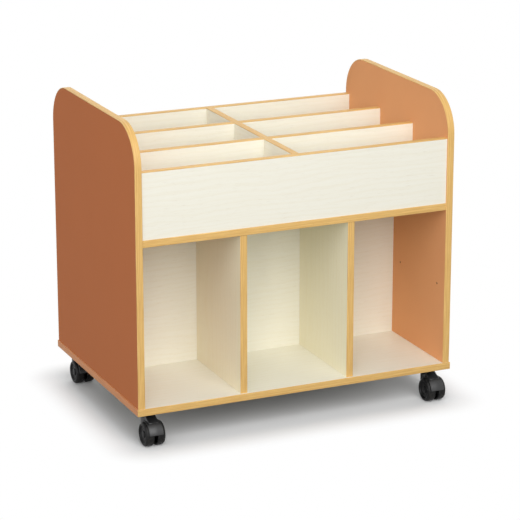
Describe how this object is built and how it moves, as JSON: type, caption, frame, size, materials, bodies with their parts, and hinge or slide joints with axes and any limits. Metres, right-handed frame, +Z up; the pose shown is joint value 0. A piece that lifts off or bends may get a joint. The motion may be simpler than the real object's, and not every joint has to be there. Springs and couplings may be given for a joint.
{
  "type": "book trolley",
  "caption": "Double-sided book trolley on swivel castors: round-topped end panels, a divided browser tray for picture books on top, and open book bays below on both sides.",
  "frame": {"origin": "on the floor, under the middle of the footprint with every castor trailing towards the front", "axes": "+X to the right along the front, +Y from front to back, +Z up"},
  "size_m": [0.856, 0.5964, 0.797],
  "materials": {
    "terracotta_board": "terracotta melamine facing on chipboard",
    "maple_board": "pale maple melamine facing on chipboard",
    "oak_lipping": "tan edge strip with rounded corners",
    "black_nylon": "moulded black nylon",
    "zinc_steel": "zinc-plated steel"
  },
  "bodies": {
    "case": {"base_panel": "maple_board", "base_lipping_front": "oak_lipping", "base_lipping_back": "oak_lipping", "base_lipping_left": "oak_lipping", "base_lipping_right": "oak_lipping", "left_end_panel": "terracotta_board", "right_end_panel": "terracotta_board", "left_end_lipping": "oak_lipping", "right_end_lipping": "oak_lipping", "middle_shelf": "maple_board", "shelf_lipping_front": "oak_lipping", "shelf_lipping_back": "oak_lipping", "tray_front": "maple_board", "tray_back": "maple_board", "tray_front_lipping": "oak_lipping", "tray_back_lipping": "oak_lipping", "row_divider_1": "maple_board", "row_divider_2": "maple_board", "row_divider_1_lipping_left": "oak_lipping", "row_divider_1_lipping_right": "oak_lipping", "row_divider_2_lipping_left": "oak_lipping", "row_divider_2_lipping_right": "oak_lipping", "cross_divider": "maple_board", "cross_divider_lipping": "oak_lipping", "centre_partition": "maple_board", "bay_divider_front_left": "maple_board", "bay_divider_front_right": "maple_board", "bay_divider_back_left": "maple_board", "bay_divider_back_right": "maple_board", "bay_divider_lipping_front_left": "oak_lipping", "bay_divider_lipping_front_right": "oak_lipping", "bay_divider_lipping_back_left": "oak_lipping", "bay_divider_lipping_back_right": "oak_lipping", "castor_front_left_plate": "zinc_steel", "castor_front_left_kingpin": "zinc_steel", "castor_front_right_plate": "zinc_steel", "castor_front_right_kingpin": "zinc_steel", "castor_back_left_plate": "zinc_steel", "castor_back_left_kingpin": "zinc_steel", "castor_back_right_plate": "zinc_steel", "castor_back_right_kingpin": "zinc_steel"},
    "front_left_fork": {"castor_front_left_hood": "black_nylon", "castor_front_left_axle": "zinc_steel"},
    "front_right_fork": {"castor_front_right_hood": "black_nylon", "castor_front_right_axle": "zinc_steel"},
    "back_left_fork": {"castor_back_left_hood": "black_nylon", "castor_back_left_axle": "zinc_steel"},
    "back_right_fork": {"castor_back_right_hood": "black_nylon", "castor_back_right_axle": "zinc_steel"},
    "front_left_wheel_left": {"castor_front_left_wheel_left": "black_nylon"},
    "front_left_wheel_right": {"castor_front_left_wheel_right": "black_nylon"},
    "front_right_wheel_left": {"castor_front_right_wheel_left": "black_nylon"},
    "front_right_wheel_right": {"castor_front_right_wheel_right": "black_nylon"},
    "back_left_wheel_left": {"castor_back_left_wheel_left": "black_nylon"},
    "back_left_wheel_right": {"castor_back_left_wheel_right": "black_nylon"},
    "back_right_wheel_left": {"castor_back_right_wheel_left": "black_nylon"},
    "back_right_wheel_right": {"castor_back_right_wheel_right": "black_nylon"}
  },
  "joints": [
    {"name": "front_left_swivel", "type": "hinge", "parent": "case", "child": "front_left_fork", "pos_m": [-0.386, -0.23876, 0.07], "axis": [0, 0, 1], "continuous": true},
    {"name": "front_right_swivel", "type": "hinge", "parent": "case", "child": "front_right_fork", "pos_m": [0.386, -0.23876, 0.07], "axis": [0, 0, 1], "continuous": true},
    {"name": "back_left_swivel", "type": "hinge", "parent": "case", "child": "back_left_fork", "pos_m": [-0.386, 0.25624, 0.07], "axis": [0, 0, 1], "continuous": true},
    {"name": "back_right_swivel", "type": "hinge", "parent": "case", "child": "back_right_fork", "pos_m": [0.386, 0.25624, 0.07], "axis": [0, 0, 1], "continuous": true},
    {"name": "front_left_roll_left", "type": "hinge", "parent": "front_left_fork", "child": "front_left_wheel_left", "pos_m": [-0.386, -0.26476, 0.02963], "axis": [1, 0, 0], "continuous": true},
    {"name": "front_left_roll_right", "type": "hinge", "parent": "front_left_fork", "child": "front_left_wheel_right", "pos_m": [-0.386, -0.26476, 0.02963], "axis": [1, 0, 0], "continuous": true},
    {"name": "front_right_roll_left", "type": "hinge", "parent": "front_right_fork", "child": "front_right_wheel_left", "pos_m": [0.386, -0.26476, 0.02963], "axis": [1, 0, 0], "continuous": true},
    {"name": "front_right_roll_right", "type": "hinge", "parent": "front_right_fork", "child": "front_right_wheel_right", "pos_m": [0.386, -0.26476, 0.02963], "axis": [1, 0, 0], "continuous": true},
    {"name": "back_left_roll_left", "type": "hinge", "parent": "back_left_fork", "child": "back_left_wheel_left", "pos_m": [-0.386, 0.23024, 0.02963], "axis": [1, 0, 0], "continuous": true},
    {"name": "back_left_roll_right", "type": "hinge", "parent": "back_left_fork", "child": "back_left_wheel_right", "pos_m": [-0.386, 0.23024, 0.02963], "axis": [1, 0, 0], "continuous": true},
    {"name": "back_right_roll_left", "type": "hinge", "parent": "back_right_fork", "child": "back_right_wheel_left", "pos_m": [0.386, 0.23024, 0.02963], "axis": [1, 0, 0], "continuous": true},
    {"name": "back_right_roll_right", "type": "hinge", "parent": "back_right_fork", "child": "back_right_wheel_right", "pos_m": [0.386, 0.23024, 0.02963], "axis": [1, 0, 0], "continuous": true}
  ]
}
